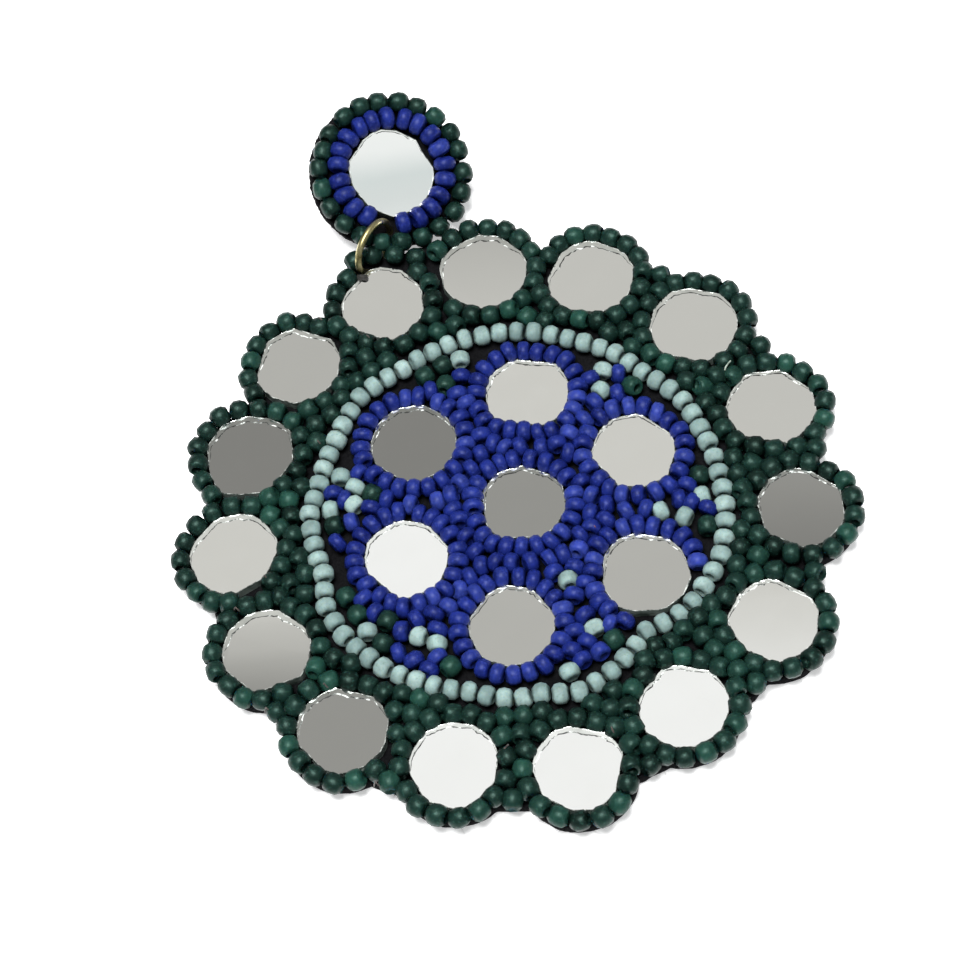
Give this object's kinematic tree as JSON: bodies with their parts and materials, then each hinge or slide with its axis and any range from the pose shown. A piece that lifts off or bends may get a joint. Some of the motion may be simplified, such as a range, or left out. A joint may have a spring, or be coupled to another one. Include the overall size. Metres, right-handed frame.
{
  "type": "mirror earring",
  "caption": "Beaded drop earring: a scalloped felt disc of round mirrors set in rows of green, pale and blue seed beads, linked by a brass ring to a small mirror ear stud.",
  "frame": {"origin": "middle of the main disc's flat back face, which lies on the surface", "axes": "+Z out of the mirrored front; +Y from the middle of the main disc to the mirror at the jump ring, towards the stud"},
  "size_m": [0.068, 0.0825, 0.0103],
  "materials": {
    "black_felt": "dense black felt, slightly fuzzy at the cut edge",
    "mirror_glass": "silvered glass, hand cut, with nicked edges",
    "green_beads": "dark green glass beads, some a little clear, satin gloss",
    "aqua_beads": "opaque pale sea-green glass beads, speckled satin",
    "blue_beads": "opaque cobalt blue glass beads, satin",
    "antique_brass": "darkened polished brass wire",
    "post_steel": "plain steel pad and post"
  },
  "bodies": {
    "root": {"main_backing": "black_felt", "mirror_outer_01": "mirror_glass", "mirror_outer_02": "mirror_glass", "mirror_outer_03": "mirror_glass", "mirror_outer_04": "mirror_glass", "mirror_outer_05": "mirror_glass", "mirror_outer_06": "mirror_glass", "mirror_outer_07": "mirror_glass", "mirror_outer_08": "mirror_glass", "mirror_outer_09": "mirror_glass", "mirror_outer_10": "mirror_glass", "mirror_outer_11": "mirror_glass", "mirror_outer_12": "mirror_glass", "mirror_outer_13": "mirror_glass", "mirror_outer_14": "mirror_glass", "mirror_outer_15": "mirror_glass", "mirror_inner_01": "mirror_glass", "mirror_inner_02": "mirror_glass", "mirror_inner_03": "mirror_glass", "mirror_inner_04": "mirror_glass", "mirror_inner_05": "mirror_glass", "mirror_inner_06": "mirror_glass", "mirror_middle": "mirror_glass", "green_rows": "green_beads", "aqua_row": "aqua_beads", "blue_rows": "blue_beads", "jump_ring": "antique_brass", "stud_backing": "black_felt", "stud_mirror": "mirror_glass", "stud_blue_row": "blue_beads", "stud_green_row": "green_beads", "ear_post": "post_steel"}
  },
  "joints": []
}
